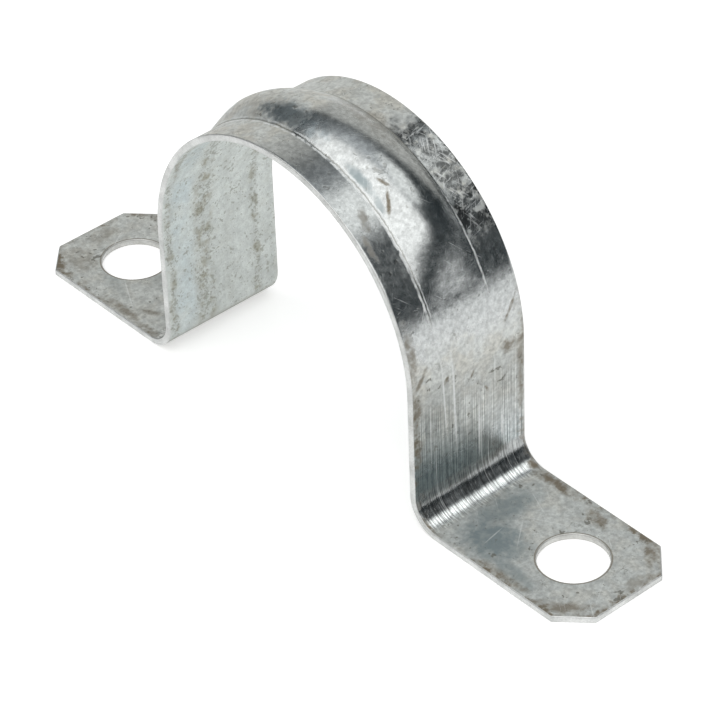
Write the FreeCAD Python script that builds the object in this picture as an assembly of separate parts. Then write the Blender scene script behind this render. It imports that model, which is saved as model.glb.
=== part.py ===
# Two-hole conduit strap: one strip of galvanised sheet, folded over a pipe.
#
# Frame: +Z up, feet on the plane z = 0. The strip runs along X, its width along Y,
# and the pipe's axis runs along Y. The origin is under the crown, midway between the feet.

import FreeCAD, Part
import math
import os

# ---- Driving dimensions, millimetres and degrees ----

# Sheet strip
strip_width = 20.0
sheet = 1.0
edge_break = 0.15             # broken rims of the strip and of its holes

# Arch
pipe_diameter = 50.0          # inner diameter of the half-round arch
crown_height = 47.2           # from the mounting surface to the outside of the flat margins

# Feet
foot_length = 26.0            # straight part of a foot, from the end of its bend to its tip
bend_radius = 3.9             # between the leg's outer face and the foot's top
corner_cut_along = 4.2        # cut corners, along the foot
corner_cut_across = 4.0       # cut corners, across the foot
hole_diameter = 9.7
hole_from_tip = 10.3          # tip of the foot to the centre of its hole

# Hollow rib pressed outward along the crown
rib_width = 10.0
rib_height = 1.8
rib_half_angle = 66.0         # from the top of the arch to where the rib has faded out
rib_runout_angle = 28.0       # part of that angle over which the rib rises to full height
crease_softness = 0.25        # rounded length on each side of the creases along the rib
crown_sections = 6            # loft sections between the top and the start of a run-out
runout_sections = 6           # loft sections along one run-out

# ---- Worked out from them ----

arch_inner_radius = pipe_diameter / 2
arch_outer_radius = arch_inner_radius + sheet
arch_center = FreeCAD.Vector(0, 0, crown_height - arch_outer_radius)
bend_center = FreeCAD.Vector(arch_outer_radius + bend_radius, 0, sheet + bend_radius)
tip_x = bend_center.x + foot_length
hole_x = tip_x - hole_from_tip
band_half = rib_width / 2 + 2 * crease_softness    # half width of the strip's ribbed band

x_axis = FreeCAD.Vector(1, 0, 0)
y_axis = FreeCAD.Vector(0, 1, 0)
z_axis = FreeCAD.Vector(0, 0, 1)


def path_edges(points):
    """Straight edges from each point to the next."""
    return [Part.makeLine(a, b) for a, b in zip(points, points[1:])]


def start_of(edge):
    return edge.valueAt(edge.FirstParameter)


def end_of(edge):
    return edge.valueAt(edge.LastParameter)


# ---- Ribbed band of the crown ----


def bezier_edge(*controls):
    """Smooth edge drawn by its control points, split into spans that stay near the curve."""
    bezier = Part.BezierCurve()
    bezier.setPoles(list(controls))
    curve = bezier.toBSpline()
    curve.insertKnots([0.25, 0.5, 0.75], [1, 1, 1])
    return curve.toShape()


def bulge_edges(half_width, height, base_z, softness, direction):
    """Parabola of a given half width and height, with a softened crease at each foot.

    It crosses the strip towards +Y or -Y. Each crease takes in softness on both of its
    sides, and is tangent to the flat margin and to the parabola.
    """
    foot = half_width - softness
    foot_z = height * (1 - (foot / half_width) ** 2)
    top_control_z = height * (1 + (foot / half_width) ** 2)
    crease = foot + (half_width ** 2 - foot ** 2) / (2 * foot)
    margin = half_width + softness

    def point(y, z):
        return FreeCAD.Vector(0, y * direction, base_z + z)

    return [
        bezier_edge(point(-margin, 0), point(-crease, 0), point(-foot, foot_z)),
        bezier_edge(point(-foot, foot_z), point(0, top_control_z), point(foot, foot_z)),
        bezier_edge(point(foot, foot_z), point(crease, 0), point(margin, 0)),
    ]


def sheet_section(angle, height):
    """Closed section of the sheet on the arch, at an angle from the top and a rib height.

    The groove under the rib is narrower and its creases are rounder, so that the sheet
    keeps its thickness. The section is wider than the band, which is trimmed later.
    """
    half = band_half + sheet
    rib_half = rib_width / 2
    groove_half = math.sqrt(rib_half ** 2 - 2 * height * sheet)
    groove_softness = crease_softness + rib_half - groove_half
    outer_z = crown_height
    inner_z = crown_height - sheet
    rib = bulge_edges(rib_half, height, outer_z, crease_softness, 1)
    groove = bulge_edges(groove_half, height, inner_z, groove_softness, -1)
    far_rim = [FreeCAD.Vector(0, half, outer_z), FreeCAD.Vector(0, half, inner_z)]
    near_rim = [FreeCAD.Vector(0, -half, inner_z), FreeCAD.Vector(0, -half, outer_z)]
    far = path_edges([end_of(rib[-1])] + far_rim + [start_of(groove[0])])
    near = path_edges([end_of(groove[-1])] + near_rim + [start_of(rib[0])])
    section = Part.Wire(rib + far + groove + near)
    section.rotate(arch_center, y_axis, angle)
    return section


def rib_height_at(angle):
    """Height of the rib: full along the crown, fading smoothly at its ends, then nothing."""
    run = (rib_half_angle - abs(angle)) / rib_runout_angle
    run = max(0.0, min(run, 1.0))
    return rib_height * run * run * (3 - 2 * run)


def ribbed_band():
    """Middle band of the arch with its rib, lofted over the crown and trimmed to its width."""
    full_angle = rib_half_angle - rib_runout_angle
    crown = [full_angle * i / crown_sections for i in range(crown_sections)]
    runout = [full_angle + rib_runout_angle * i / runout_sections for i in range(runout_sections + 1)]
    half_angles = crown[1:] + runout
    angles = [-a for a in reversed(half_angles)] + [0.0] + half_angles
    wide = Part.makeLoft([sheet_section(a, rib_height_at(a)) for a in angles], True, False)
    return wide.common(above_legs(band_half))


def band_sector():
    """Wedge of the arch that the ribbed band fills, over the band's width."""
    reach = 2 * crown_height
    a = math.radians(rib_half_angle)
    side = FreeCAD.Vector(reach * math.sin(a), 0, reach * math.cos(a))
    left = arch_center + FreeCAD.Vector(-side.x, 0, side.z)
    top_left = arch_center + FreeCAD.Vector(-side.x, 0, reach)
    top_right = arch_center + FreeCAD.Vector(side.x, 0, reach)
    wedge = Part.makePolygon([arch_center, left, top_left, top_right, arch_center + side, arch_center])
    wedge.translate(y_axis * -band_half)
    return Part.Face(wedge).extrude(y_axis * (2 * band_half))


def above_legs(half_width):
    """Box around the arch, over a half width of the strip."""
    corner = FreeCAD.Vector(-crown_height, -half_width, arch_center.z)
    return Part.makeBox(2 * crown_height, 2 * half_width, crown_height, corner)


# ---- Plain folded strip ----


def point_on(center, radius, angle):
    """Point in side view, at an angle in degrees from +Z towards +X."""
    a = math.radians(angle)
    return center + FreeCAD.Vector(radius * math.sin(a), 0, radius * math.cos(a))


def arc_edge(center, radius, start_angle, end_angle):
    angles = [start_angle, (start_angle + end_angle) / 2, end_angle]
    return Part.Arc(*[point_on(center, radius, a) for a in angles]).toShape()


def face_edges(arch_radius, fold_radius, foot_z):
    """One face of the sheet in side view, from the top of the arch to the tip of the foot on +X."""
    arch = arc_edge(arch_center, arch_radius, 0, 90)
    fold = arc_edge(bend_center, fold_radius, 270, 180)
    leg = Part.makeLine(end_of(arch), start_of(fold))
    foot = Part.makeLine(end_of(fold), FreeCAD.Vector(tip_x, 0, foot_z))
    return [arch, leg, fold, foot]


def plain_strip():
    """The folded strip without its rib, holes and corner cuts, extruded from its side view."""
    outer = face_edges(arch_outer_radius, bend_radius, sheet)
    inner = face_edges(arch_inner_radius, bend_radius + sheet, 0)
    tip = Part.makeLine(end_of(outer[-1]), end_of(inner[-1]))
    right = outer + inner + [tip]
    left = [edge.mirror(FreeCAD.Vector(0, 0, 0), x_axis) for edge in right]
    outline = Part.Wire(Part.__sortEdges__(right + left))
    outline.translate(y_axis * (-strip_width / 2))
    return Part.Face(outline).extrude(y_axis * strip_width)


def corner_cutter(end, side):
    """Prism that takes one corner off a foot: end is +1 or -1 along X, side along Y."""
    corner = FreeCAD.Vector(end * tip_x, side * strip_width / 2, -sheet)
    along = corner - x_axis * (end * corner_cut_along)
    across = corner - y_axis * (side * corner_cut_across)
    return Part.Face(Part.makePolygon([corner, along, across, corner])).extrude(z_axis * (3 * sheet))


def foot_cutters():
    """Screw hole and two cut corners for each foot."""
    cutters = []
    for end in (1, -1):
        base = FreeCAD.Vector(end * hole_x, 0, -sheet)
        cutters.append(Part.makeCylinder(hole_diameter / 2, 3 * sheet, base, z_axis))
        cutters += [corner_cutter(end, side) for side in (1, -1)]
    return cutters


# ---- Whole strap ----


def rim_edges(body):
    """Edges where a face of the sheet meets its slit edge, a tip or a hole's wall squarely."""
    rims = []
    for edge in body.Edges:
        middle = edge.valueAt((edge.FirstParameter + edge.LastParameter) / 2)
        faces = body.ancestorsOfType(edge, Part.Face)
        normals = [face.normalAt(*face.Surface.parameter(middle)) for face in faces]
        if len(normals) == 2 and abs(normals[0].dot(normals[1])) < 0.1:
            rims.append(edge)
    return rims


def strap():
    """One solid. The arch keeps seams beside the rib, so each of its plain bands is a true cylinder."""
    blank = plain_strip().cut(foot_cutters())
    legs_and_feet = blank.cut(above_legs(strip_width))
    arch = blank.common(above_legs(strip_width))
    margins = arch.cut(above_legs(band_half))
    rib_ends = arch.common(above_legs(band_half)).cut(band_sector())
    body = legs_and_feet.fuse([margins, rib_ends, ribbed_band()]).Solids[0]
    return body.makeChamfer(edge_break, rim_edges(body))


os.makedirs("parts", exist_ok=True)
shape = strap()
print("strap:", len(shape.Solids), "solid, valid", shape.isValid(), "volume", round(shape.Volume, 1))
shape.exportStep("parts/strap.step")
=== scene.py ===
import math
from types import SimpleNamespace

import bmesh
import bpy
from mathutils import Matrix, Vector


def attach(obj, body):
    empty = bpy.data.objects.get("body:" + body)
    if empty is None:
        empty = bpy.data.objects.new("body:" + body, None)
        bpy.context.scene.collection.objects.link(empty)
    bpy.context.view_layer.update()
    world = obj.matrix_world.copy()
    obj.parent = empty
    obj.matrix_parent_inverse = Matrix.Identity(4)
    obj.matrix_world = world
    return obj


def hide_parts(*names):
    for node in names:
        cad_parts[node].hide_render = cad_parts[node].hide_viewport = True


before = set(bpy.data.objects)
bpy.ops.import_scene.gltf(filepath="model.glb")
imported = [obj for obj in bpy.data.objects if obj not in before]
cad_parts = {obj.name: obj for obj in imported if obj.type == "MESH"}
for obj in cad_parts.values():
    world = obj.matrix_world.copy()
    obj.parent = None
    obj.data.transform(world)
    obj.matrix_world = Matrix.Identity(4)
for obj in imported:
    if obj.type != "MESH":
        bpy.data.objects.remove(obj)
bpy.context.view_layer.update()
mm = 0.001

# The strap's own sizes, in millimetres and degrees. The blank is flat: along is measured on
# the outer face from the top of the arch, across from the middle of the strip.
strapSizes = {
    "stripWidth": 20.0,
    "sheet": 1.0,
    "pipeDiameter": 50.0,
    "crownHeight": 47.2,
    "footLength": 26.0,
    "bendRadius": 3.9,
    "cornerAlong": 4.2,
    "cornerAcross": 4.0,
    "holeDiameter": 9.7,
    "holeFromTip": 10.3,
    "ribWidth": 10.0,
    "ribHeight": 1.8,
    "ribHalfAngle": 66.0,
    "ribRunOut": 28.0,
    "creaseSoftness": 0.25,
    "edgeBreak": 0.15,
    "edgeSegments": 2,
    # how finely the blank is divided
    "ribSteps": 16,
    "creaseSteps": 8,
    "marginStations": [6.0, 7.0, 8.0, 9.0, 9.6],
    "archSteps": 90,
    "legSteps": 10,
    "bendSteps": 16,
    "footSteps": 4,
    "rimStep": 0.9,
    "ringShares": [0.0, 0.08, 0.3, 0.6, 0.88, 1.0],
}

archRadius = strapSizes["pipeDiameter"] / 2 + strapSizes["sheet"]
legLength = strapSizes["crownHeight"] - archRadius - strapSizes["sheet"] - strapSizes["bendRadius"]
archEnd = archRadius * math.pi / 2
legEnd = archEnd + legLength
bendEnd = legEnd + strapSizes["bendRadius"] * math.pi / 2
tip = bendEnd + strapSizes["footLength"]
holeAlong = tip - strapSizes["holeFromTip"]
holeRadius = strapSizes["holeDiameter"] / 2
creaseAt = strapSizes["ribWidth"] / 2
gridEnd = 2 * holeAlong - tip   # past this, the blank is rings round the hole


# small helpers for node trees, used for geometry and for shaders

def addNode(tree, kind, sockets=None, **settings):
    node = tree.nodes.new(kind)
    for name, value in settings.items():
        setattr(node, name, value)
    for key, value in (sockets or {}).items():
        setSocket(tree, node.inputs[key], value)
    return node


def setSocket(tree, socket, value):
    if isinstance(value, bpy.types.NodeSocket):
        tree.links.new(value, socket)
    elif value is not None:
        socket.default_value = value


def calc(tree, operation, a, b=None, c=None, clamp=False):
    node = tree.nodes.new("ShaderNodeMath")
    node.operation = operation
    node.use_clamp = clamp
    for socket, value in zip(node.inputs, (a, b, c)):
        setSocket(tree, socket, value)
    return node.outputs[0]


def times(tree, *values):
    total = values[0]
    for value in values[1:]:
        total = calc(tree, "MULTIPLY", total, value)
    return total


def span(tree, value, low, high, outLow=0.0, outHigh=1.0):
    # rises smoothly from outLow to outHigh as the value goes from low to high
    node = addNode(tree, "ShaderNodeMapRange", interpolation_type="SMOOTHSTEP")
    for key, setting in enumerate((value, low, high, outLow, outHigh)):
        setSocket(tree, node.inputs[key], setting)
    return node.outputs[0]


def newGroup(kind, name, inputs, outputs):
    tree = bpy.data.node_groups.new(name, kind)
    for direction, sockets in (("INPUT", inputs), ("OUTPUT", outputs)):
        for socketName, socketType, default in sockets:
            socket = tree.interface.new_socket(socketName, in_out=direction,
                                               socket_type="NodeSocket" + socketType)
            if default is not None:
                socket.default_value = default
    return tree, tree.nodes.new("NodeGroupInput"), tree.nodes.new("NodeGroupOutput")


def useGroup(tree, group, **values):
    kind = "GeometryNodeGroup" if tree.bl_idname == "GeometryNodeTree" else "ShaderNodeGroup"
    node = tree.nodes.new(kind)
    node.node_tree = group
    for name, value in values.items():
        setSocket(tree, node.inputs[name], value)
    return node


# the flat blank: strip, corner cuts and screw holes

def acrossStations():
    soft = strapSizes["creaseSoftness"]
    ribSteps, creaseSteps = strapSizes["ribSteps"], strapSizes["creaseSteps"]
    rib = [(creaseAt - soft) * i / ribSteps for i in range(ribSteps)]
    # the crease's rows reach a little past its soft part
    crease = [creaseAt - soft + 2.2 * soft * i / creaseSteps for i in range(creaseSteps + 1)]
    right = rib + crease + strapSizes["marginStations"] + [strapSizes["stripWidth"] / 2]
    return [-y for y in reversed(right[1:])] + right


def alongStations():
    stations = []
    parts = ((0.0, archEnd, "archSteps"), (archEnd, legLength, "legSteps"),
             (legEnd, bendEnd - legEnd, "bendSteps"), (bendEnd, gridEnd - bendEnd, "footSteps"))
    for start, length, steps in parts:
        count = strapSizes[steps]
        stations += [start + length * i / count for i in range(count)]
    return stations + [gridEnd]


def patchOutline(across):
    # points round the foot's end, from the strip's last row out to the tip and back
    half = strapSizes["stripWidth"] / 2
    cutAlong = tip - strapSizes["cornerAlong"]
    cutAcross = half - strapSizes["cornerAcross"]
    corners = [(gridEnd, half), (cutAlong, half), (tip, cutAcross),
               (tip, -cutAcross), (cutAlong, -half), (gridEnd, -half)]
    outline = []
    for (x0, y0), (x1, y1) in zip(corners, corners[1:]):
        count = max(4, round(math.hypot(x1 - x0, y1 - y0) / strapSizes["rimStep"]))
        outline += [(x0 + (x1 - x0) * i / count, y0 + (y1 - y0) * i / count) for i in range(count)]
    outline += [(gridEnd, y) for y in across[:-1]]
    return outline


def addGrid(mesh, rows, across):
    grid = [[mesh.verts.new((x * mm, y * mm, 0)) for y in across] for x in rows]
    for rowA, rowB in zip(grid, grid[1:]):
        for corners in zip(rowA, rowB, rowB[1:], rowA[1:]):
            mesh.faces.new(corners)
    return grid


def addRingsRoundHole(mesh, outline, seam, side):
    # rings of quads from the hole's rim out to the foot's outline; the last one meets the grid
    rings = []
    for share in strapSizes["ringShares"]:
        ring = []
        for x, y in outline:
            if share == 1.0 and abs(x - gridEnd) < 1e-6:
                ring.append(seam[round(y, 4)])
                continue
            turn = math.atan2(y, x - holeAlong)
            rimX = holeAlong + holeRadius * math.cos(turn)
            rimY = holeRadius * math.sin(turn)
            place = (side * (rimX + (x - rimX) * share) * mm, (rimY + (y - rimY) * share) * mm, 0)
            ring.append(mesh.verts.new(place))
        rings.append(ring)
    for inner, outer in zip(rings, rings[1:]):
        for i in range(len(outline)):
            j = (i + 1) % len(outline)
            corners = (inner[i], inner[j], outer[j], outer[i])
            mesh.faces.new(corners if side == 1 else reversed(corners))


def makeBlank():
    across = acrossStations()
    along = alongStations()
    mesh = bmesh.new()
    grid = addGrid(mesh, [-x for x in reversed(along[1:])] + along, across)
    outline = patchOutline(across)
    for side, lastRow in ((1, grid[-1]), (-1, grid[0])):
        seam = {round(y, 4): point for y, point in zip(across, lastRow)}
        addRingsRoundHole(mesh, outline, seam, side)
    mesh.normal_update()
    for face in mesh.faces:
        if face.normal.z < 0:
            face.normal_flip()
    # the map holds each point's place on the flat blank, in millimetres
    placeMap = mesh.loops.layers.uv.new("blankPlace")
    for face in mesh.faces:
        for loop in face.loops:
            loop[placeMap].uv = (loop.vert.co.x / mm, loop.vert.co.y / mm)
    data = bpy.data.meshes.new("blank")
    mesh.to_mesh(data)
    mesh.free()
    print("blank made:", len(data.polygons), "faces")
    return data


# the rib is pressed and the strip folded
def foldGroup():
    # folds a flat stretch round a bend: side +1 folds it up, -1 down
    tree, given, result = newGroup(
        "GeometryNodeTree", "foldStretch",
        [("along", "Float", None), ("height", "Float", None), ("start", "Float", None),
         ("angle", "Float", None), ("radius", "Float", None), ("side", "Float", 1.0)],
        [("along", "Float", None), ("height", "Float", None)])
    g = given.outputs
    past = calc(tree, "SUBTRACT", g["along"], g["start"])
    turn = calc(tree, "MAXIMUM", calc(tree, "DIVIDE", past, g["radius"]), 0.0)
    turn = calc(tree, "MINIMUM", turn, g["angle"])
    beyond = calc(tree, "SUBTRACT", past, times(tree, g["radius"], turn))
    reach = calc(tree, "SUBTRACT", g["radius"], times(tree, g["side"], g["height"]))
    sine = calc(tree, "SINE", turn)
    cosine = calc(tree, "COSINE", turn)
    x = calc(tree, "ADD", times(tree, reach, sine), times(tree, beyond, cosine))
    rise = calc(tree, "SUBTRACT", times(tree, beyond, sine), times(tree, reach, cosine))
    z = times(tree, g["side"], calc(tree, "ADD", rise, g["radius"]))
    setSocket(tree, result.inputs["along"], calc(tree, "ADD", g["start"], x))
    setSocket(tree, result.inputs["height"], z)
    return tree


def ribHeightAt(tree, g, along, off, radius):
    # how far the rib stands out along the arch: full over the crown, fading at its ends
    angle = calc(tree, "DIVIDE", along, radius)
    run = calc(tree, "DIVIDE", calc(tree, "SUBTRACT", g["ribHalfAngle"], angle), g["ribRunOut"], clamp=True)
    fade = times(tree, times(tree, run, run), calc(tree, "MULTIPLY_ADD", run, -2.0, 3.0))
    # across the strip: a parabola, then a short soft crease that ends level with the margin
    half = calc(tree, "DIVIDE", g["ribWidth"], 2.0)
    foot = calc(tree, "SUBTRACT", half, g["creaseSoftness"])
    footShare = calc(tree, "DIVIDE", foot, half)
    footRise = calc(tree, "SUBTRACT", 1.0, times(tree, footShare, footShare))
    footSlope = calc(tree, "DIVIDE", times(tree, footShare, 2.0), half)
    creaseLength = calc(tree, "DIVIDE", times(tree, footRise, 2.0), footSlope)
    share = calc(tree, "DIVIDE", off, half)
    parabola = calc(tree, "SUBTRACT", 1.0, times(tree, share, share))
    pastFoot = calc(tree, "DIVIDE", calc(tree, "SUBTRACT", off, foot), creaseLength)
    left = calc(tree, "SUBTRACT", 1.0, pastFoot, clamp=True)
    crease = times(tree, footRise, times(tree, left, left))
    inside = calc(tree, "LESS_THAN", off, foot)
    profile = mixValue(tree, inside, crease, parabola)
    return times(tree, g["ribHeight"], fade, profile)


foldLengths = ["pipeDiameter", "sheet", "crownHeight", "bendRadius", "ribWidth", "ribHeight", "creaseSoftness"]
foldAngles = ["ribHalfAngle", "ribRunOut"]


def pressAndFoldTree():
    inputs = [("Geometry", "Geometry", None)]
    inputs += [(name, "Float", strapSizes[name] * mm) for name in foldLengths]
    inputs += [(name, "Float", math.radians(strapSizes[name])) for name in foldAngles]
    inputs += [("finish", "Material", None)]
    tree, given, result = newGroup("GeometryNodeTree", "pressAndFold", inputs, [("Geometry", "Geometry", None)])
    g = given.outputs
    position = addNode(tree, "GeometryNodeInputPosition").outputs[0]
    place = addNode(tree, "ShaderNodeSeparateXYZ", {0: position}).outputs
    along = calc(tree, "ABSOLUTE", place[0])
    side = calc(tree, "SIGN", place[0])
    off = calc(tree, "ABSOLUTE", place[1])
    radius = calc(tree, "ADD", calc(tree, "DIVIDE", g["pipeDiameter"], 2.0), g["sheet"])
    height = ribHeightAt(tree, g, along, off, radius)

    # foot bend first, then the half-round arch
    fold = foldGroup()
    legStart = times(tree, radius, math.pi / 2)
    leg = calc(tree, "SUBTRACT", calc(tree, "SUBTRACT", g["crownHeight"], radius),
               calc(tree, "ADD", g["sheet"], g["bendRadius"]))
    foot = useGroup(tree, fold, along=along, height=height, start=calc(tree, "ADD", legStart, leg),
                    angle=math.pi / 2, radius=g["bendRadius"], side=1.0).outputs
    arch = useGroup(tree, fold, along=foot["along"], height=foot["height"], start=0.0,
                    angle=math.pi / 2, radius=radius, side=-1.0).outputs
    x = times(tree, arch["along"], side)
    z = calc(tree, "ADD", arch["height"], g["crownHeight"])
    folded = addNode(tree, "ShaderNodeCombineXYZ", {0: x, 1: place[1], 2: z}).outputs[0]
    shape = addNode(tree, "GeometryNodeSetPosition", {"Geometry": g["Geometry"], "Position": folded}).outputs[0]
    shape = addNode(tree, "GeometryNodeRealizeInstances", {"Geometry": shape}).outputs[0]
    shape = addNode(tree, "GeometryNodeSetMaterial", {"Geometry": shape, "Material": g["finish"]}).outputs[0]
    setSocket(tree, result.inputs["Geometry"], shape)
    return tree


def setInput(modifier, name, value):
    for item in modifier.node_group.interface.items_tree:
        if item.item_type == "SOCKET" and item.in_out == "INPUT" and item.name == name:
            modifier[item.identifier] = value


def evaluatedMesh(piece):
    graph = bpy.context.evaluated_depsgraph_get()
    whole = piece.evaluated_get(graph)
    return bpy.data.meshes.new_from_object(whole, preserve_all_data_layers=True, depsgraph=graph)


def makeStrap(outerFinish, innerFinish, edgeFinish):
    strap = bpy.data.objects.new("strapSheet", makeBlank())
    bpy.context.scene.collection.objects.link(strap)
    folding = strap.modifiers.new("pressAndFold", "NODES")
    folding.node_group = pressAndFoldTree()
    for name in foldLengths:
        setInput(folding, name, strapSizes[name] * mm)
    for name in foldAngles:
        setInput(folding, name, math.radians(strapSizes[name]))
    setInput(folding, "finish", outerFinish)
    folded = evaluatedMesh(strap)
    strap.modifiers.remove(folding)
    strap.data = folded
    folded.materials.clear()
    for finish in (outerFinish, innerFinish, edgeFinish):
        folded.materials.append(finish)
    thickness = strap.modifiers.new("thickness", "SOLIDIFY")
    thickness.thickness = strapSizes["sheet"] * mm
    thickness.offset = -1
    thickness.use_even_offset = True
    thickness.material_offset = 1
    thickness.material_offset_rim = 2
    rims = strap.modifiers.new("brokenEdges", "BEVEL")
    rims.width = strapSizes["edgeBreak"] * mm
    rims.segments = strapSizes["edgeSegments"]
    rims.limit_method = "ANGLE"
    rims.angle_limit = math.radians(60)
    rims.material = 2
    rims.use_clamp_overlap = False
    solid = evaluatedMesh(strap)
    strap.modifiers.clear()
    strap.data = solid
    solid.shade_smooth()
    solid.set_sharp_from_angle(angle=math.radians(50))
    return strap


# patterns that several finishes share; places are millimetres on the flat blank

def mixValue(tree, share, low, high):
    return addNode(tree, "ShaderNodeMix", {0: share, 2: low, 3: high}).outputs[0]


def scaled(tree, value, by, plus=None):
    return calc(tree, "MULTIPLY", value, by) if plus is None else calc(tree, "MULTIPLY_ADD", value, by, plus)


def most(tree, *masks):
    total = masks[0]
    for mask in masks[1:]:
        total = calc(tree, "MAXIMUM", total, mask)
    return total


def noiseAt(tree, place, scale, shift, detail=4.0, roughness=0.6):
    sockets = {"Vector": place, "W": shift, "Scale": scale, "Detail": detail, "Roughness": roughness}
    return addNode(tree, "ShaderNodeTexNoise", sockets, noise_dimensions="4D").outputs[0]


def stretch(tree, place, length, width, turn):
    # a place turned and divided by a length and a width, so that round patterns become long
    turned = addNode(tree, "ShaderNodeVectorRotate", {"Vector": place, "Angle": turn}, rotation_type="Z_AXIS")
    part = addNode(tree, "ShaderNodeSeparateXYZ", {0: turned.outputs[0]}).outputs
    along, across = calc(tree, "DIVIDE", part[0], length), calc(tree, "DIVIDE", part[1], width)
    return addNode(tree, "ShaderNodeCombineXYZ", {0: along, 1: across}).outputs[0]


def cloudGroup():
    # soft uneven clouds between 0 and 1
    tree, given, result = newGroup(
        "ShaderNodeTree", "zincClouds",
        [("place", "Vector", None), ("size", "Float", 5.0), ("detail", "Float", 4.0),
         ("low", "Float", 0.35), ("high", "Float", 0.65), ("shift", "Float", 0.0)],
        [("value", "Float", None)])
    g = given.outputs
    noise = noiseAt(tree, g["place"], calc(tree, "DIVIDE", 1.0, g["size"]), g["shift"], g["detail"])
    setSocket(tree, result.inputs[0], span(tree, noise, g["low"], g["high"]))
    return tree


def speckGroup():
    # small irregular flecks: the peaks of a rough noise, gathered by a slower one
    tree, given, result = newGroup(
        "ShaderNodeTree", "pitSpecks",
        [("place", "Vector", None), ("size", "Float", 0.5), ("share", "Float", 0.3), ("shift", "Float", 0.0)],
        [("value", "Float", None)])
    g = given.outputs
    scale = calc(tree, "DIVIDE", 1.0, g["size"])
    peaks = noiseAt(tree, g["place"], scale, g["shift"], 2.0, 0.5)
    gather = noiseAt(tree, g["place"], scaled(tree, scale, 0.15), calc(tree, "ADD", g["shift"], 3.0), 3.0)
    total = calc(tree, "ADD", peaks, scaled(tree, calc(tree, "SUBTRACT", gather, 0.5), 0.5))
    low = calc(tree, "SUBTRACT", 0.78, scaled(tree, g["share"], 0.3))
    setSocket(tree, result.inputs[0], span(tree, total, low, calc(tree, "ADD", low, 0.06)))
    return tree


def streakGroup():
    # fine parallel marks: long thin noise, which may be turned
    tree, given, result = newGroup(
        "ShaderNodeTree", "drawMarks",
        [("place", "Vector", None), ("length", "Float", 20.0), ("width", "Float", 0.3), ("turn", "Float", 0.0),
         ("low", "Float", 0.4), ("high", "Float", 0.6), ("shift", "Float", 0.0)],
        [("value", "Float", None)])
    g = given.outputs
    noise = noiseAt(tree, stretch(tree, g["place"], g["length"], g["width"], g["turn"]), 1.0, g["shift"], 3.0)
    setSocket(tree, result.inputs[0], span(tree, noise, g["low"], g["high"]))
    return tree


def patchGroup():
    # one soft patch; the wobble pushes its outline in and out
    tree, given, result = newGroup(
        "ShaderNodeTree", "ragPatch",
        [("place", "Vector", None), ("along", "Float", 0.0), ("across", "Float", 0.0),
         ("length", "Float", 4.0), ("width", "Float", 2.0), ("turn", "Float", 0.0), ("wobble", "Float", 0.0)],
        [("value", "Float", None)])
    g = given.outputs
    centre = addNode(tree, "ShaderNodeCombineXYZ", {0: g["along"], 1: g["across"]}).outputs[0]
    off = addNode(tree, "ShaderNodeVectorMath", {0: g["place"], 1: centre}, operation="SUBTRACT").outputs[0]
    shaped = stretch(tree, off, g["length"], g["width"], g["turn"])
    away = addNode(tree, "ShaderNodeVectorMath", {0: shaped}, operation="LENGTH").outputs["Value"]
    setSocket(tree, result.inputs[0], span(tree, calc(tree, "ADD", away, g["wobble"]), 1.1, 0.3))
    return tree


def hairlineGroup():
    # scattered curved hairlines: thin level lines of a noise
    tree, given, result = newGroup(
        "ShaderNodeTree", "hairlines",
        [("place", "Vector", None), ("size", "Float", 3.0), ("thin", "Float", 0.02), ("share", "Float", 0.5),
         ("detail", "Float", 1.0), ("shift", "Float", 0.0)],
        [("value", "Float", None)])
    g = given.outputs
    scale = calc(tree, "DIVIDE", 1.0, g["size"])
    noise = noiseAt(tree, g["place"], scale, g["shift"], g["detail"], 0.5)
    line = span(tree, calc(tree, "ABSOLUTE", calc(tree, "SUBTRACT", noise, 0.5)), g["thin"], 0.0)
    where = noiseAt(tree, g["place"], scaled(tree, scale, 0.8), calc(tree, "ADD", g["shift"], 9.0), 2.0)
    low = calc(tree, "SUBTRACT", 0.75, scaled(tree, g["share"], 0.5))
    setSocket(tree, result.inputs[0], times(tree, line, span(tree, where, low, calc(tree, "ADD", low, 0.1))))
    return tree


zincClouds = cloudGroup()
pitSpecks = speckGroup()
thinStreaks = streakGroup()
softPatch = patchGroup()
hairlines = hairlineGroup()


def cloud(tree, place, size, **settings):
    return useGroup(tree, zincClouds, place=place, size=size, **settings).outputs[0]


def speck(tree, place, size, share, shift):
    return useGroup(tree, pitSpecks, place=place, size=size, share=share, shift=shift).outputs[0]


def streak(tree, place, length, width, low, high, shift, turn=0.0):
    return useGroup(tree, thinStreaks, place=place, length=length, width=width, turn=turn,
                    low=low, high=high, shift=shift).outputs[0]


def patches(tree, place, rows, wobble):
    # each row: along, across, length, width, turn, strength
    total = None
    for along, across, length, width, turn, strength in rows:
        patch = useGroup(tree, softPatch, place=place, along=along, across=across, length=length,
                         width=width, turn=turn, wobble=wobble).outputs[0]
        patch = scaled(tree, patch, strength)
        total = patch if total is None else most(tree, total, patch)
    return total


def band(tree, value, middle, half):
    away = calc(tree, "ABSOLUTE", calc(tree, "SUBTRACT", value, middle))
    return span(tree, away, half, half * 0.3)


def rimDistance(tree, reach, off):
    # how far the sides, the tip and the cut corner are
    side = calc(tree, "SUBTRACT", strapSizes["stripWidth"] / 2, off)
    end = calc(tree, "SUBTRACT", tip, reach)
    long, wide = strapSizes["cornerAlong"], strapSizes["cornerAcross"]
    size = math.hypot(long, wide)
    fromEnd = scaled(tree, end, wide / size, -long * wide / size)
    corner = scaled(tree, side, long / size, fromEnd)
    return calc(tree, "MINIMUM", calc(tree, "MINIMUM", side, end), corner)


def distanceFromHole(tree, place):
    onOneSide = addNode(tree, "ShaderNodeVectorMath", {0: place}, operation="ABSOLUTE").outputs[0]
    away = addNode(tree, "ShaderNodeVectorMath", {0: onOneSide, 1: (holeAlong, 0, 0)}, operation="DISTANCE")
    return away.outputs["Value"]


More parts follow.
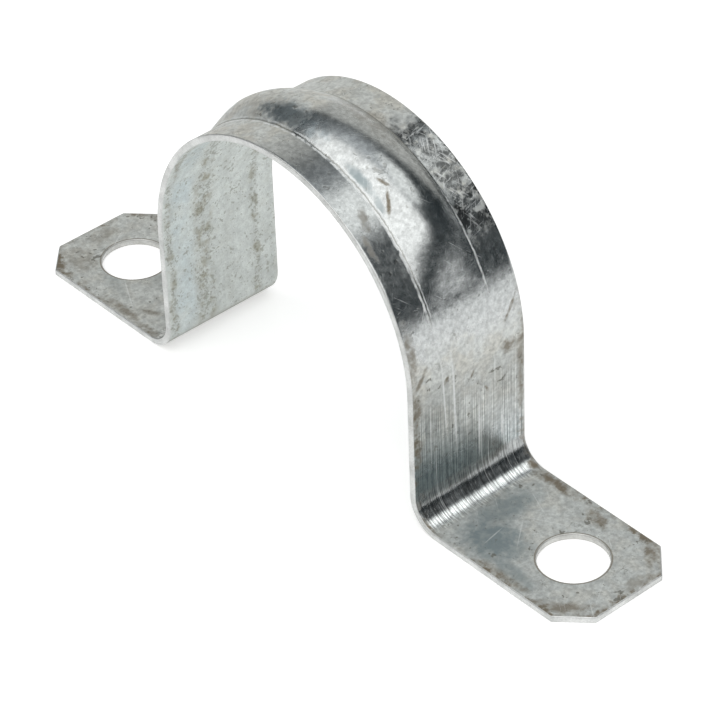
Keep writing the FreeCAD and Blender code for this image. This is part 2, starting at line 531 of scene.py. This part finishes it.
def startFinish(name):
    finish = bpy.data.materials.new(name)
    finish.use_nodes = True
    tree = finish.node_tree
    place = addNode(tree, "ShaderNodeUVMap", uv_map="blankPlace").outputs[0]
    return finish, tree, tree.nodes["Principled BSDF"], place


def blend(tree, share, low, high, kind="MIX"):
    # colours are tuples or sockets
    node = addNode(tree, "ShaderNodeMix", data_type="RGBA", blend_type=kind)
    setSocket(tree, node.inputs[0], share)
    for socket, value in ((node.inputs[6], low), (node.inputs[7], high)):
        setSocket(tree, socket, (*value, 1) if isinstance(value, tuple) else value)
    return node.outputs[2]


def toned(tree, colour, tone):
    grey = addNode(tree, "ShaderNodeCombineColor", {0: tone, 1: tone, 2: tone}).outputs[0]
    return blend(tree, 1.0, colour, grey, "MULTIPLY")


def addRelief(tree, surface, heights, patterns):
    # each pattern stands out by its named height, in millimetres
    total = None
    for name, pattern in patterns.items():
        step = scaled(tree, pattern, heights[name])
        total = step if total is None else calc(tree, "ADD", total, step)
    bump = addNode(tree, "ShaderNodeBump", {"Height": total, "Distance": mm, "Strength": 1.0})
    setSocket(tree, surface.inputs["Normal"], bump.outputs[0])


# the outer face; places and lengths are in millimetres on the blank, right side positive
outerLook = {
    "paleZinc": (0.76, 0.78, 0.76),
    "dullZinc": (0.60, 0.62, 0.60),
    "rubbedZinc": (0.56, 0.58, 0.58),
    "blueRub": (0.40, 0.48, 0.52),
    "footZinc": (0.54, 0.57, 0.57),
    "warmZinc": (0.64, 0.625, 0.57),
    "legShade": (0.34, 0.40, 0.41),
    "stain": (0.21, 0.18, 0.135),
    "smudge": (0.25, 0.30, 0.315),
    "pitAndShade": (0.15, 0.145, 0.12),
    "scratchAndHighlight": (0.86, 0.88, 0.88),
    # plain zinc, rubbed zinc, and where a stain or a scratch lies
    "roughness": {"matt": 0.46, "rubbed": 0.19, "marked": 0.5},
    "metallic": {"matt": 0.5, "rubbed": 1.0, "marked": 0.4},
    # where the bright rub begins along the arch, and over which stretch it ends
    "rubFrom": {"rib": -3.0, "farMargin": 5.0, "nearMargin": -2.0},
    "rubFade": (42, 34),
    "relief": {"waves": 0.07, "dents": 0.010, "clouds": 0.004, "grain": 0.002,
               "drawMarks": 0.006, "creases": 0.012, "pits": -0.01},
    # rows of patches: along, across, length, width, turn, strength
    "legStains": [
        (43.0, -9.2, 3.0, 1.0, 0.0, 0.8), (34.0, -9.2, 5.0, 0.9, 0.0, 0.7), (38.5, -8.3, 2.4, 0.5, 0.7, 0.8),
        (40.5, 7.0, 1.3, 1.6, 0.3, 0.8), (43.0, 9.2, 3.0, 0.8, 0.0, 0.6), (35.2, 8.0, 2.2, 0.35, 0.7, 0.8),
        (48.0, 9.3, 6.0, 0.8, 0.0, 0.6), (40.5, -4.0, 0.8, 0.4, 0.5, 0.9), (42.0, 0.6, 0.9, 0.35, 0.6, 0.9),
        (45.8, 3.2, 0.9, 0.35, -0.6, 0.9),
    ],
    "ribStains": [
        (15.5, -7.2, 2.2, 0.8, 0.4, 0.6), (19.0, -8.8, 2.6, 0.6, 0.0, 0.6), (15.2, -3.3, 2.0, 0.34, 0.5, 1.0),
        (12.6, -2.3, 1.5, 0.3, -0.4, 0.85), (3.0, 3.8, 7.0, 2.6, 0.0, 0.4),
    ],
    "footStains": [
        (66.0, 8.9, 5.0, 1.3, 0.0, 0.95), (75.5, 7.8, 2.6, 1.3, 0.2, 0.85), (85.0, 8.0, 3.2, 1.1, 0.75, 0.85),
        (88.0, 2.5, 1.2, 3.0, 0.0, 0.5), (85.0, -7.6, 4.6, 1.3, -0.75, 0.75), (76.0, -9.0, 6.0, 0.8, 0.0, 0.6),
        (-84.5, -6.0, 3.6, 3.0, 0.3, 0.5), (-87.0, 0.0, 2.0, 4.0, 0.0, 0.45), (-84.0, 8.8, 5.0, 1.3, 0.0, 0.75),
        (-71.0, -8.8, 5.0, 1.0, 0.0, 0.7), (-64.5, -9.3, 3.0, 0.9, 0.0, 0.8), (-67.5, -6.4, 2.2, 0.7, -0.5, 0.6),
        (-70.0, 6.0, 4.0, 1.0, 0.3, 0.4),
    ],
    "smudges": [
        (69.0, -5.0, 6.5, 4.8, 0.0, 1.0), (65.5, -0.5, 3.2, 9.0, 0.0, 0.8), (75.0, -7.6, 6.0, 1.6, 0.1, 0.7),
        (10.5, -4.1, 3.2, 0.8, 0.0, 0.85), (14.8, -4.3, 1.8, 0.6, 0.3, 0.6), (-74.0, 0.0, 5.0, 2.0, 0.4, 0.3),
        (-76.0, -6.0, 4.0, 1.5, 0.2, 0.3),
    ],
    "blueRubs": [(-4.0, -3.1, 7.8, 2.2, 0.06, 0.76)],
    "legScratches": [
        (45.5, -2.6, 10.0, 0.26, -0.03, 1.0), (43.5, -4.4, 7.0, 0.2, -0.05, 0.9), (51.5, 1.7, 5.6, 0.26, 0.0, 0.9),
        (53.0, 5.8, 2.6, 0.2, 0.0, 0.8), (44.0, 4.6, 4.0, 0.14, 0.0, 0.5), (47.5, -0.6, 5.0, 0.14, 0.0, 0.5),
    ],
    "footScratches": [
        (70.5, -1.5, 4.0, 0.1, 0.9, 0.45), (72.0, 3.0, 5.0, 0.1, -0.5, 0.4), (68.5, -4.5, 2.4, 0.12, 1.4, 0.5),
        (67.5, 4.5, 3.5, 0.1, 0.4, 0.4), (86.0, -2.0, 3.0, 0.1, 1.0, 0.4), (-73.0, -6.0, 5.0, 0.12, 0.5, 0.6),
        (-70.0, 3.5, 4.0, 0.12, -0.7, 0.5), (-84.5, 1.0, 3.0, 0.12, 1.0, 0.5), (-67.0, -3.5, 3.0, 0.1, 1.2, 0.5),
    ],
}


def startOuter(tree, place):
    # what every part of the outer finish reads: places on the blank and the zinc's own patterns
    part = addNode(tree, "ShaderNodeSeparateXYZ", {0: place}).outputs
    on = SimpleNamespace(tree=tree, place=place, along=part[0], across=part[1])
    on.reach = calc(tree, "ABSOLUTE", on.along)
    on.off = calc(tree, "ABSOLUTE", on.across)
    on.bigClouds = cloud(tree, place, 6.0, detail=7.0, low=0.32, high=0.68, shift=2.0)
    on.fineClouds = cloud(tree, place, 0.9, detail=5.0, low=0.25, high=0.75, shift=3.0)
    on.grain = cloud(tree, place, 0.28, detail=3.0, low=0.2, high=0.8, shift=6.0)
    uneven = calc(tree, "SUBTRACT", noiseAt(tree, place, 0.8, 0.0, 6.0, 0.7), 0.5)
    on.wobble = scaled(tree, uneven, 2.4)
    return on


def markRubbed(on):
    # where the dies have rubbed the zinc bright: the rib and its margins, and the foot bends
    tree, reach, across = on.tree, on.reach, on.across
    rubFrom = outerLook["rubFrom"]
    ragged = scaled(tree, calc(tree, "SUBTRACT", on.fineClouds, 0.5), 2.5, scaled(tree, on.bigClouds, 3.0))
    farSide = span(tree, across, creaseAt - 0.4, creaseAt + 0.4)
    start = mixValue(tree, farSide, rubFrom["rib"], rubFrom["farMargin"])
    nearSide = span(tree, across, -creaseAt + 0.2, -creaseAt - 0.4)
    start = calc(tree, "ADD", start, mixValue(tree, nearSide, 0.0, rubFrom["nearMargin"] - rubFrom["rib"]))
    here = calc(tree, "ADD", on.along, ragged)
    crown = times(tree, span(tree, calc(tree, "SUBTRACT", here, start), 0.0, 4.0),
                  span(tree, here, *outerLook["rubFade"]))
    # the far margin keeps dull flecks between the rubbed ones
    flecks = cloud(tree, on.place, 1.5, detail=6.0, low=0.34, high=0.5, shift=1.0)
    on.farMargin = times(tree, span(tree, across, creaseAt - 0.2, creaseAt + 0.6),
                         span(tree, on.along, 27, 20))
    flecks = mixValue(tree, on.farMargin, 1.0, flecks)
    bends = times(tree, span(tree, reach, legEnd - 10, legEnd - 2),
                  span(tree, reach, bendEnd - 0.3, bendEnd - 1.2))
    on.blueRub = patches(tree, on.place, outerLook["blueRubs"], on.wobble)
    on.rubbed = most(tree, times(tree, crown, flecks), bends, on.blueRub)


def zincColour(on):
    # uneven zinc: pale and dull clouds, cooler on the right foot, warmer here and there
    tree, look = on.tree, outerLook
    dull = scaled(tree, on.bigClouds, 0.6, scaled(tree, on.fineClouds, 0.3))
    level = most(tree, span(tree, on.reach, 30, 12), span(tree, on.reach, bendEnd, bendEnd + 3))
    dull = calc(tree, "MULTIPLY_ADD", level, 0.1, scaled(tree, dull, 0.9), clamp=True)
    colour = blend(tree, dull, look["paleZinc"], look["dullZinc"])
    colour = blend(tree, on.rubbed, colour, look["rubbedZinc"])
    colour = blend(tree, scaled(tree, on.blueRub, 0.8), colour, look["blueRub"])
    warm = cloud(tree, on.place, 3.5, detail=7.0, low=0.44, high=0.6, shift=31.0)
    belowArch = span(tree, on.reach, archEnd - 5, archEnd + 3)
    rightFoot = span(tree, on.along, bendEnd - 1, bendEnd + 4)
    colour = blend(tree, scaled(tree, rightFoot, 0.5), colour, look["footZinc"])
    warm = times(tree, warm, mixValue(tree, on.rubbed, 0.75, 0.0), mixValue(tree, belowArch, 1.0, 0.55))
    return blend(tree, warm, colour, look["warmZinc"])


def zincTone(on):
    # light and dark of the grain; the rubbed far margin is made darkest, in uneven patches
    tree = on.tree
    mottle = cloud(tree, on.place, 0.7, detail=5.0, low=0.32, high=0.68, shift=32.0)
    tone = times(tree, scaled(tree, on.grain, 0.2, 0.86), scaled(tree, mottle, 0.34, 0.8),
                 scaled(tree, on.fineClouds, 0.16, 0.91))
    on.worn = cloud(tree, on.place, 2.6, detail=8.0, low=0.42, high=0.6, shift=51.0)
    darkenedFarMargin = times(tree, on.farMargin, on.rubbed)
    return times(tree, tone, mixValue(tree, darkenedFarMargin, 1.0, scaled(tree, on.worn, 0.85, 0.2)))


def addDrawMarks(on, colour, tone):
    # marks drawn along the strip: long on the legs, short and close in the bends
    tree, place, reach = on.tree, on.place, on.reach
    on.legPart = times(tree, span(tree, reach, archEnd - 2, archEnd + 8),
                       span(tree, reach, bendEnd + 0.2, bendEnd - 0.4))
    legMarks = streak(tree, place, 26.0, 0.2, low=0.36, high=0.64, shift=5.0)
    on.longMarks = streak(tree, place, 40.0, 0.45, low=0.58, high=0.68, shift=7.0)
    on.bendPart = times(tree, span(tree, reach, legEnd - 0.6, legEnd + 0.6),
                        span(tree, reach, bendEnd - 0.4, bendEnd - 1.2))
    bendMarks = streak(tree, place, 8.0, 0.2, low=0.42, high=0.57, shift=8.0)
    on.marks = mixValue(tree, on.bendPart, times(tree, legMarks, on.legPart), bendMarks)
    drawn = most(tree, on.legPart, on.bendPart)
    tone = times(tree, tone, mixValue(tree, drawn, 1.0, scaled(tree, on.marks, 0.65, 0.55)))
    # painted highlight and painted shade: the bend's tone is raised towards the foot and lowered towards the leg
    bendHighlightAndShade = span(tree, reach, legEnd + 3.2, legEnd + 4.3, 0.5, 1.0)
    tone = times(tree, tone, mixValue(tree, on.bendPart, 1.0, scaled(tree, bendHighlightAndShade, 1.5)))
    # the lower leg is shaded, more so on its near side
    shadeFrom = scaled(tree, on.across, -0.35, scaled(tree, on.marks, -7.0, reach))
    shade = times(tree, span(tree, shadeFrom, 42, 55.5), span(tree, reach, legEnd + 0.4, legEnd - 0.6))
    colour = blend(tree, scaled(tree, shade, 0.85), colour, outerLook["legShade"])
    return toned(tree, colour, tone)


def addDirt(on, colour):
    # smudges, stains, dirt along the rims, a painted shade line round the holes, then pits
    tree, place, look = on.tree, on.place, outerLook
    rimDirt = calc(tree, "ADD", rimDistance(tree, on.reach, on.off),
                   scaled(tree, calc(tree, "ADD", on.fineClouds, on.worn), -1.0))
    rimDirt = times(tree, span(tree, rimDirt, 0.5, -0.8), span(tree, on.reach, 28, 45),
                    cloud(tree, place, 3.5, low=0.38, high=0.56, shift=10.0))
    stains = look["legStains"] + look["ribStains"] + look["footStains"]
    stain = most(tree, patches(tree, place, stains, on.wobble), rimDirt)
    speckled = cloud(tree, place, 1.3, detail=7.0, low=0.36, high=0.56, shift=33.0)
    stain = times(tree, stain, scaled(tree, speckled, 0.75, 0.3))
    # painted shade: a dark line round each hole's rim, blended in with the stains
    holeRimShade = band(tree, distanceFromHole(tree, place), holeRadius + 0.22, 0.15)
    on.stain = most(tree, stain, scaled(tree, holeRimShade, 0.8))
    on.smudge = times(tree, patches(tree, place, look["smudges"], scaled(tree, on.wobble, 0.5)),
                      scaled(tree, speckled, 0.25, 0.75))
    colour = blend(tree, on.smudge, colour, look["smudge"])
    colour = blend(tree, on.stain, colour, look["stain"])
    pits = speck(tree, place, 0.9, 0.4, 4.0)
    finePits = speck(tree, place, 0.4, 0.35, 11.0)
    on.pits = most(tree, scaled(tree, pits, 0.75), scaled(tree, finePits, 0.45))
    pitShade = times(tree, on.pits, mixValue(tree, on.rubbed, 1.0, 0.45))
    scrawl = useGroup(tree, hairlines, place=place, size=2.2, thin=0.014, share=0.45, detail=3.0, shift=34.0)
    scrawl = times(tree, scrawl.outputs[0], mixValue(tree, on.rubbed, 0.55, 0.15))
    return blend(tree, most(tree, pitShade, scrawl), colour, look["pitAndShade"])


def addBrightLines(on, colour):
    # scuffs, a net of scratches on the far margin, and bright lines at the rib's creases, partly rubbed wear and
    # partly painted highlight
    tree, place, look = on.tree, on.place, outerLook
    scuffs = most(tree, streak(tree, place, 10.0, 0.22, low=0.64, high=0.7, shift=25.0, turn=0.6),
                  streak(tree, place, 8.0, 0.2, low=0.65, high=0.71, shift=26.0, turn=-0.8))
    net = [streak(tree, place, 3.5, 0.3, low=0.55, high=0.66, shift=shift, turn=turn)
           for turn, shift in ((0.5, 35.0), (-0.5, 36.0), (1.3, 37.0))]
    net = times(tree, most(tree, *net), span(tree, on.across, creaseAt + 0.2, creaseAt + 0.8),
                span(tree, on.along, 4, 10), span(tree, on.along, 26, 20))
    onRib = span(tree, on.reach, 33, 30)
    gaps = cloud(tree, place, 0.9, detail=4.0, low=0.32, high=0.62, shift=19.0)
    # painted highlight, partly rubbed wear: bright lines along both creases
    wander = scaled(tree, on.fineClouds, 0.16, on.across)
    nearCreaseWearAndHighlight = most(tree, band(tree, wander, -creaseAt - 0.1, 0.26),
                      scaled(tree, band(tree, wander, -creaseAt + 0.4, 0.14), 0.7))
    farCreaseWearAndHighlight = times(tree, band(tree, wander, creaseAt + 0.15, 0.2), span(tree, on.along, 14, 20))
    on.crease = times(tree, most(tree, nearCreaseWearAndHighlight, farCreaseWearAndHighlight), onRib, gaps)
    # painted shade: a dark line lies beside each bright one along the creases
    farCreaseShade = times(tree, band(tree, on.across, creaseAt, 0.12), span(tree, on.along, 18, 12))
    nearCreaseShade = scaled(tree, band(tree, wander, -creaseAt + 0.16, 0.13), 0.8)
    creaseShade = times(tree, most(tree, farCreaseShade, nearCreaseShade), onRib)
    colour = blend(tree, scaled(tree, creaseShade, 0.7), colour, look["pitAndShade"])
    scratches = patches(tree, place, look["legScratches"] + look["footScratches"], scaled(tree, on.wobble, 0.2))
    drawn = most(tree, on.legPart, on.bendPart)
    on.bright = most(tree, times(tree, scuffs, mixValue(tree, drawn, 0.55, 0.0)),
                     scaled(tree, net, 0.65), on.crease,
                     times(tree, scratches, scaled(tree, on.grain, 0.5, 0.6)),
                     scaled(tree, times(tree, on.longMarks, on.legPart), 0.6))
    # scratches, scuffs and the painted crease highlights take the pale colour
    return blend(tree, on.bright, colour, look["scratchAndHighlight"])


def makeOuterFinish():
    finish, tree, surface, place = startFinish("galvanisedOuter")
    on = startOuter(tree, place)
    markRubbed(on)
    colour = addDrawMarks(on, zincColour(on), zincTone(on))
    colour = addBrightLines(on, addDirt(on, colour))
    setSocket(tree, surface.inputs["Base Color"], colour)

    rough = outerLook["roughness"]
    value = mixValue(tree, on.rubbed, rough["matt"], rough["rubbed"])
    value = calc(tree, "ADD", value, scaled(tree, on.fineClouds, 0.08))
    value = mixValue(tree, most(tree, on.stain, on.smudge, on.bright), value, rough["marked"])
    setSocket(tree, surface.inputs["Roughness"], value)
    metal = outerLook["metallic"]
    value = mixValue(tree, on.rubbed, metal["matt"], metal["rubbed"])
    value = mixValue(tree, most(tree, on.stain, on.bright), value, metal["marked"])
    setSocket(tree, surface.inputs["Metallic"], value)
    addRelief(tree, surface, outerLook["relief"], {
        "waves": noiseAt(tree, place, 0.2, 20.0, 2.0),
        "dents": noiseAt(tree, place, 0.7, 27.0, 2.0),
        "clouds": on.fineClouds,
        "grain": on.grain,
        "drawMarks": times(tree, on.marks, mixValue(tree, on.bendPart, on.legPart, 0.2)),
        "creases": on.crease,
        "pits": on.pits,
    })
    return finish


# the inner face: paler and greener, never rubbed, with rows of small pits
innerLook = {
    "paleZinc": (0.78, 0.82, 0.80),
    "dullZinc": (0.62, 0.65, 0.63),
    "sheenBlue": (0.66, 0.76, 0.80),
    "stain": (0.34, 0.32, 0.24),
    "pitAndShade": (0.25, 0.25, 0.20),
    "roughness": 0.45,
    "metallic": 0.6,
    "pitBands": [(-2.5, 2.2), (6.8, 0.9), (-8.6, 0.8)],   # middle and half width, across the strip
    "relief": {"clouds": 0.006, "grain": 0.003, "pits": -0.015},
}


def makeInnerFinish():
    look = innerLook
    finish, tree, surface, place = startFinish("galvanisedInner")
    part = addNode(tree, "ShaderNodeSeparateXYZ", {0: place}).outputs
    across = part[1]
    bigClouds = cloud(tree, place, 5.0, detail=7.0, shift=12.0)
    fineClouds = cloud(tree, place, 0.9, detail=5.0, low=0.25, high=0.75, shift=13.0)
    grain = cloud(tree, place, 0.25, detail=3.0, low=0.2, high=0.8, shift=14.0)
    drawn = streak(tree, place, 50.0, 2.5, low=0.4, high=0.62, shift=14.0)
    rows = [band(tree, calc(tree, "ADD", across, scaled(tree, bigClouds, 0.8)), middle, half)
            for middle, half in look["pitBands"]]
    bands = most(tree, *rows)

    # pale and dull zinc, duller in the bands; painted shade darkens it down the legs, and a painted blue sheen
    # lies near one rim
    reach = calc(tree, "ABSOLUTE", part[0])
    dull = scaled(tree, bigClouds, 0.35, scaled(tree, drawn, 0.3))
    dull = scaled(tree, bands, 0.35, dull)
    # painted shade: the zinc darkens down the legs, towards the bottom
    dull = scaled(tree, span(tree, reach, archEnd + 2, legEnd), 0.35, dull)
    colour = blend(tree, dull, look["paleZinc"], look["dullZinc"])
    # painted sheen: a light blue cast near one rim
    blueSheen = times(tree, span(tree, across, -9.5, -7.5), span(tree, across, -4.0, -6.0))
    colour = blend(tree, times(tree, blueSheen, scaled(tree, bigClouds, 0.4, 0.15)), colour, look["sheenBlue"])
    mottle = cloud(tree, place, 0.8, detail=5.0, low=0.3, high=0.7, shift=42.0)
    tone = times(tree, scaled(tree, grain, 0.2, 0.88), scaled(tree, mottle, 0.2, 0.88))
    colour = toned(tree, colour, tone)

    # stains and pits gather in the bands; painted shade darkens the inner face where it turns under at the bends
    stain = cloud(tree, place, 2.2, detail=8.0, low=0.46, high=0.62, shift=15.0)
    stain = times(tree, stain, scaled(tree, bands, 0.65, 0.12), scaled(tree, mottle, 0.5, 0.6))
    colour = blend(tree, stain, colour, look["stain"])
    bendUndersideShade = times(tree, span(tree, reach, legEnd + 1.4, legEnd + 3.0),
                  span(tree, reach, bendEnd + 3.0, bendEnd - 1.0))
    colour = blend(tree, times(tree, bendUndersideShade, scaled(tree, mottle, 0.3, 0.5)), colour, look["pitAndShade"])
    share = scaled(tree, bands, 0.25, 0.5)
    pits = most(tree, scaled(tree, speck(tree, place, 0.7, share, 16.0), 0.5),
                scaled(tree, speck(tree, place, 0.35, share, 22.0), 0.55))
    colour = blend(tree, pits, colour, look["pitAndShade"])

    setSocket(tree, surface.inputs["Base Color"], colour)
    setSocket(tree, surface.inputs["Roughness"], scaled(tree, fineClouds, 0.1, look["roughness"]))
    surface.inputs["Metallic"].default_value = look["metallic"]
    addRelief(tree, surface, look["relief"], {"clouds": fineClouds, "grain": grain, "pits": pits})
    return finish


# the sheared rim of the strip and the walls of the holes
edgeLook = {
    "bright": (0.76, 0.77, 0.76),
    "dull": (0.52, 0.53, 0.52),
    "stain": (0.33, 0.31, 0.26),
    "roughness": 0.36,
    "metallic": 0.8,
    "relief": {"clouds": 0.01, "grain": 0.006},
}


def makeEdgeFinish():
    look = edgeLook
    finish, tree, surface, place = startFinish("cutEdge")
    body = addNode(tree, "ShaderNodeTexCoord").outputs["Object"]
    inMm = addNode(tree, "ShaderNodeVectorMath", {0: body, 3: 1 / mm}, operation="SCALE").outputs[0]
    uneven = cloud(tree, inMm, 2.4, detail=6.0, low=0.3, high=0.7, shift=21.0)
    grain = cloud(tree, inMm, 0.25, detail=3.0, low=0.2, high=0.8, shift=23.0)
    stain = cloud(tree, inMm, 3.0, detail=7.0, low=0.6, high=0.72, shift=24.0)
    colour = blend(tree, scaled(tree, uneven, 0.7), look["bright"], look["dull"])
    colour = toned(tree, colour, scaled(tree, grain, 0.25, 0.82))
    # painted shade: the hole walls are darker than the rim
    holeWallShade = span(tree, distanceFromHole(tree, place), holeRadius + 1.2, holeRadius + 0.6)
    marked = most(tree, scaled(tree, stain, 0.5), scaled(tree, holeWallShade, 0.25))
    colour = blend(tree, marked, colour, look["stain"])
    setSocket(tree, surface.inputs["Base Color"], colour)
    setSocket(tree, surface.inputs["Roughness"], scaled(tree, uneven, 0.15, look["roughness"]))
    surface.inputs["Metallic"].default_value = look["metallic"]
    addRelief(tree, surface, look["relief"], {"clouds": uneven, "grain": grain})
    return finish


outerFinish = makeOuterFinish()
innerFinish = makeInnerFinish()
edgeFinish = makeEdgeFinish()
print("finishes made: outer face, inner face and cut edge")

strap = makeStrap(outerFinish, innerFinish, edgeFinish)
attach(strap, "root")
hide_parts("strap")
print("strap made:", len(strap.data.polygons), "faces")


# where the camera stands: degrees, metres, and the lens in millimetres
cameraView = {
    "azimuth": 49.86,
    "elevation": 37.95,
    "roll": -2.3,
    "distance": 0.519,
    "lens": 182.1,
    "target": (-0.01117, 0.01289, -0.0052),
    "nearest": 0.01,
}


def addCamera():
    azimuth = math.radians(cameraView["azimuth"])
    elevation = math.radians(cameraView["elevation"])
    roll = math.radians(cameraView["roll"])
    back = Vector((math.sin(azimuth) * math.cos(elevation), -math.cos(azimuth) * math.cos(elevation),
                   math.sin(elevation)))
    right = Vector((math.cos(azimuth), math.sin(azimuth), 0))
    up = back.cross(right)
    xAxis = right * math.cos(roll) + up * math.sin(roll)
    yAxis = up * math.cos(roll) - right * math.sin(roll)
    data = bpy.data.cameras.new("camera")
    data.lens = cameraView["lens"]
    data.clip_start = cameraView["nearest"]
    camera = bpy.data.objects.new("camera", data)
    turn = Matrix((xAxis, yAxis, back)).transposed().to_4x4()
    camera.matrix_world = Matrix.Translation(Vector(cameraView["target"]) + back * cameraView["distance"]) @ turn
    bpy.context.scene.collection.objects.link(camera)
    bpy.context.scene.camera = camera


addCamera()
print("camera placed")


# a pale floor, and a room whose brightness depends on the direction
studio = {
    "floorColour": (0.8, 0.8, 0.8),
    "floorRoughness": 0.9,
    "floorSize": 6.0,
    "floorGlow": 0.5,
    "darkest": (0.035, 0.045, 0.05),
    # each light: the way it lies, how near to that way it begins and is full, and its colour
    "lights": {
        "dimLeftWall": {"towards": (-0.62, 0.76, 0.2), "edge": (0.78, 0.88), "colour": (0.66, 0.66, 0.63)},
        "hazeOverhead": {"towards": (0, 0, 1), "edge": (0.68, 1.0), "colour": (0.60, 0.63, 0.65)},
        "smallBackLight": {"towards": (0.2, 0.50, 0.84), "edge": (0.95, 0.985), "colour": (1.35, 1.37, 1.35)},
    },
    # one broad soft panel overhead and in front, with straight edges
    "panelEdges": [((0.4, -1, 0), (-0.18, 0.02)), ((0.8, 0, 0.6), (-0.10, 0.06)), ((0, 0, 1), (0.27, 0.52))],
    "panelColour": (1.56, 1.56, 1.54),
    "backdrop": (1, 1, 1),
}


def addFloor():
    half = studio["floorSize"] / 2
    corners = [(-half, -half, 0), (half, -half, 0), (half, half, 0), (-half, half, 0)]
    data = bpy.data.meshes.new("floor")
    data.from_pydata(corners, [], [(0, 1, 2, 3)])
    floor = bpy.data.objects.new("floor", data)
    bpy.context.scene.collection.objects.link(floor)
    finish = bpy.data.materials.new("paperFloor")
    finish.use_nodes = True
    tree = finish.node_tree
    surface = tree.nodes["Principled BSDF"]
    surface.inputs["Base Color"].default_value = (*studio["floorColour"], 1)
    surface.inputs["Roughness"].default_value = studio["floorRoughness"]
    surface.inputs["Specular IOR Level"].default_value = 0.0
    seen = addNode(tree, "ShaderNodeLightPath").outputs
    looked = most(tree, seen["Is Camera Ray"], most(tree, seen["Is Glossy Ray"], seen["Is Transmission Ray"]))
    strength = scaled(tree, looked, studio["floorGlow"])
    glow = addNode(tree, "ShaderNodeEmission", {"Color": (1, 1, 1, 1), "Strength": strength})
    both = addNode(tree, "ShaderNodeAddShader", {0: surface.outputs[0], 1: glow.outputs[0]})
    # looked at from below, the floor lets the object be seen
    behind = addNode(tree, "ShaderNodeNewGeometry").outputs["Backfacing"]
    clear = addNode(tree, "ShaderNodeBsdfTransparent")
    mixed = addNode(tree, "ShaderNodeMixShader", {0: times(tree, behind, seen["Is Camera Ray"]),
                                                  1: both.outputs[0], 2: clear.outputs[0]})
    tree.links.new(mixed.outputs[0], tree.nodes["Material Output"].inputs["Surface"])
    data.materials.append(finish)


def towardness(tree, way, towards, edge):
    towards = Vector(towards).normalized()
    near = addNode(tree, "ShaderNodeVectorMath", {0: way, 1: towards}, operation="DOT_PRODUCT").outputs["Value"]
    return span(tree, near, *edge)


def addRoom():
    world = bpy.data.worlds.new("room")
    bpy.context.scene.world = world
    world.use_nodes = True
    tree = world.node_tree
    way = addNode(tree, "ShaderNodeTexCoord").outputs["Generated"]
    colour = studio["darkest"]
    for light in studio["lights"].values():
        share = towardness(tree, way, light["towards"], light["edge"])
        colour = blend(tree, share, colour, light["colour"])
    panel = times(tree, *[towardness(tree, way, towards, edge) for towards, edge in studio["panelEdges"]])
    colour = blend(tree, panel, colour, studio["panelColour"])
    seen = addNode(tree, "ShaderNodeLightPath").outputs["Is Camera Ray"]
    setSocket(tree, tree.nodes["Background"].inputs["Color"], blend(tree, seen, colour, studio["backdrop"]))


addFloor()
addRoom()
bpy.context.scene.view_settings.view_transform = "Standard"
print("studio made")
